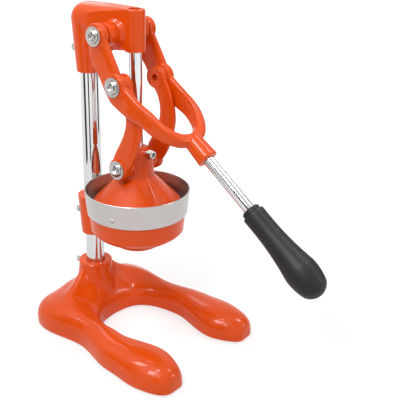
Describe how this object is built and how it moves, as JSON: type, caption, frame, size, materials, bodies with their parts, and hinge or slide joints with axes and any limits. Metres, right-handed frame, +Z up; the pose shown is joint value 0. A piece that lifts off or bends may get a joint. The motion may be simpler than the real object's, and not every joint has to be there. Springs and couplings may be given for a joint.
{
  "type": "lever citrus juice press",
  "caption": "Hand lever citrus press: forked lever and side links drive a bell down a guide into a steel cup above a horseshoe base.",
  "frame": {"origin": "on the floor plane that the four pads share, on the column's axis", "axes": "+Z up along the column, -Y to the front where the handle points, +X to the press's left seen from behind it"},
  "size_m": [0.1886, 0.3687, 0.4022],
  "materials": {
    "painted_casting": "gloss orange enamel",
    "bell_metal": "gloss orange enamel",
    "chrome_bar": "polished",
    "fastener_steel": "polished",
    "cup_steel": "brushed",
    "strainer_metal": "satin",
    "grip_plastic": "matte charcoal",
    "pad_rubber": "matte black"
  },
  "bodies": {
    "stand": {"base_casting": "painted_casting", "foot_pads": "pad_rubber", "column": "chrome_bar", "base_set_screw": "fastener_steel", "head_casting": "painted_casting", "head_set_screw": "fastener_steel", "lever_bolt_left": "fastener_steel", "lever_bolt_right": "fastener_steel", "lever_bolt_washer_left": "fastener_steel", "lever_bolt_washer_right": "fastener_steel", "lever_spacer_left": "fastener_steel", "lever_spacer_right": "fastener_steel", "bowl_holder": "painted_casting", "holder_set_screw": "fastener_steel", "strainer_cup": "cup_steel", "strainer_cone": "strainer_metal"},
    "lever": {"lever_fork": "painted_casting", "link_top_bolt_left": "fastener_steel", "link_top_bolt_right": "fastener_steel", "link_top_bolt_washer_left": "fastener_steel", "link_top_bolt_washer_right": "fastener_steel", "handle_rod": "chrome_bar", "handle_grip": "grip_plastic"},
    "bell": {"press_bell": "bell_metal", "guide_rod": "chrome_bar", "bell_clamp_screw": "fastener_steel", "link_bottom_bolt_left": "fastener_steel", "link_bottom_bolt_right": "fastener_steel", "link_bottom_bolt_washer_left": "fastener_steel", "link_bottom_bolt_washer_right": "fastener_steel"},
    "left_link": {"link_left": "painted_casting"},
    "right_link": {"link_right": "painted_casting"}
  },
  "joints": [
    {"name": "lever_pivot", "type": "hinge", "parent": "stand", "child": "lever", "pos_m": [0, -0.0556, 0.3713], "axis": [-1, 0, 0], "range_deg": [0, 95]},
    {"name": "bell_slide", "type": "slide", "parent": "stand", "child": "bell", "axis": [0, 0, 1], "range_m": [0, 0.08864]},
    {"name": "left_link_pivot", "type": "hinge", "parent": "bell", "child": "left_link", "pos_m": [-0.024, -0.0765, 0.2199], "axis": [1, 0, 0], "range_deg": [0, 13.11]},
    {"name": "right_link_pivot", "type": "hinge", "parent": "bell", "child": "right_link", "pos_m": [0.024, -0.0765, 0.2199], "axis": [1, 0, 0], "range_deg": [0, 13.11]}
  ],
  "couplings": [
    {"joint": "bell_slide", "follows": "lever_pivot", "m_per_rad": 0.053397},
    {"joint": "left_link_pivot", "follows": "lever_pivot", "ratio": 0.13746},
    {"joint": "right_link_pivot", "follows": "lever_pivot", "ratio": 0.13746}
  ]
}
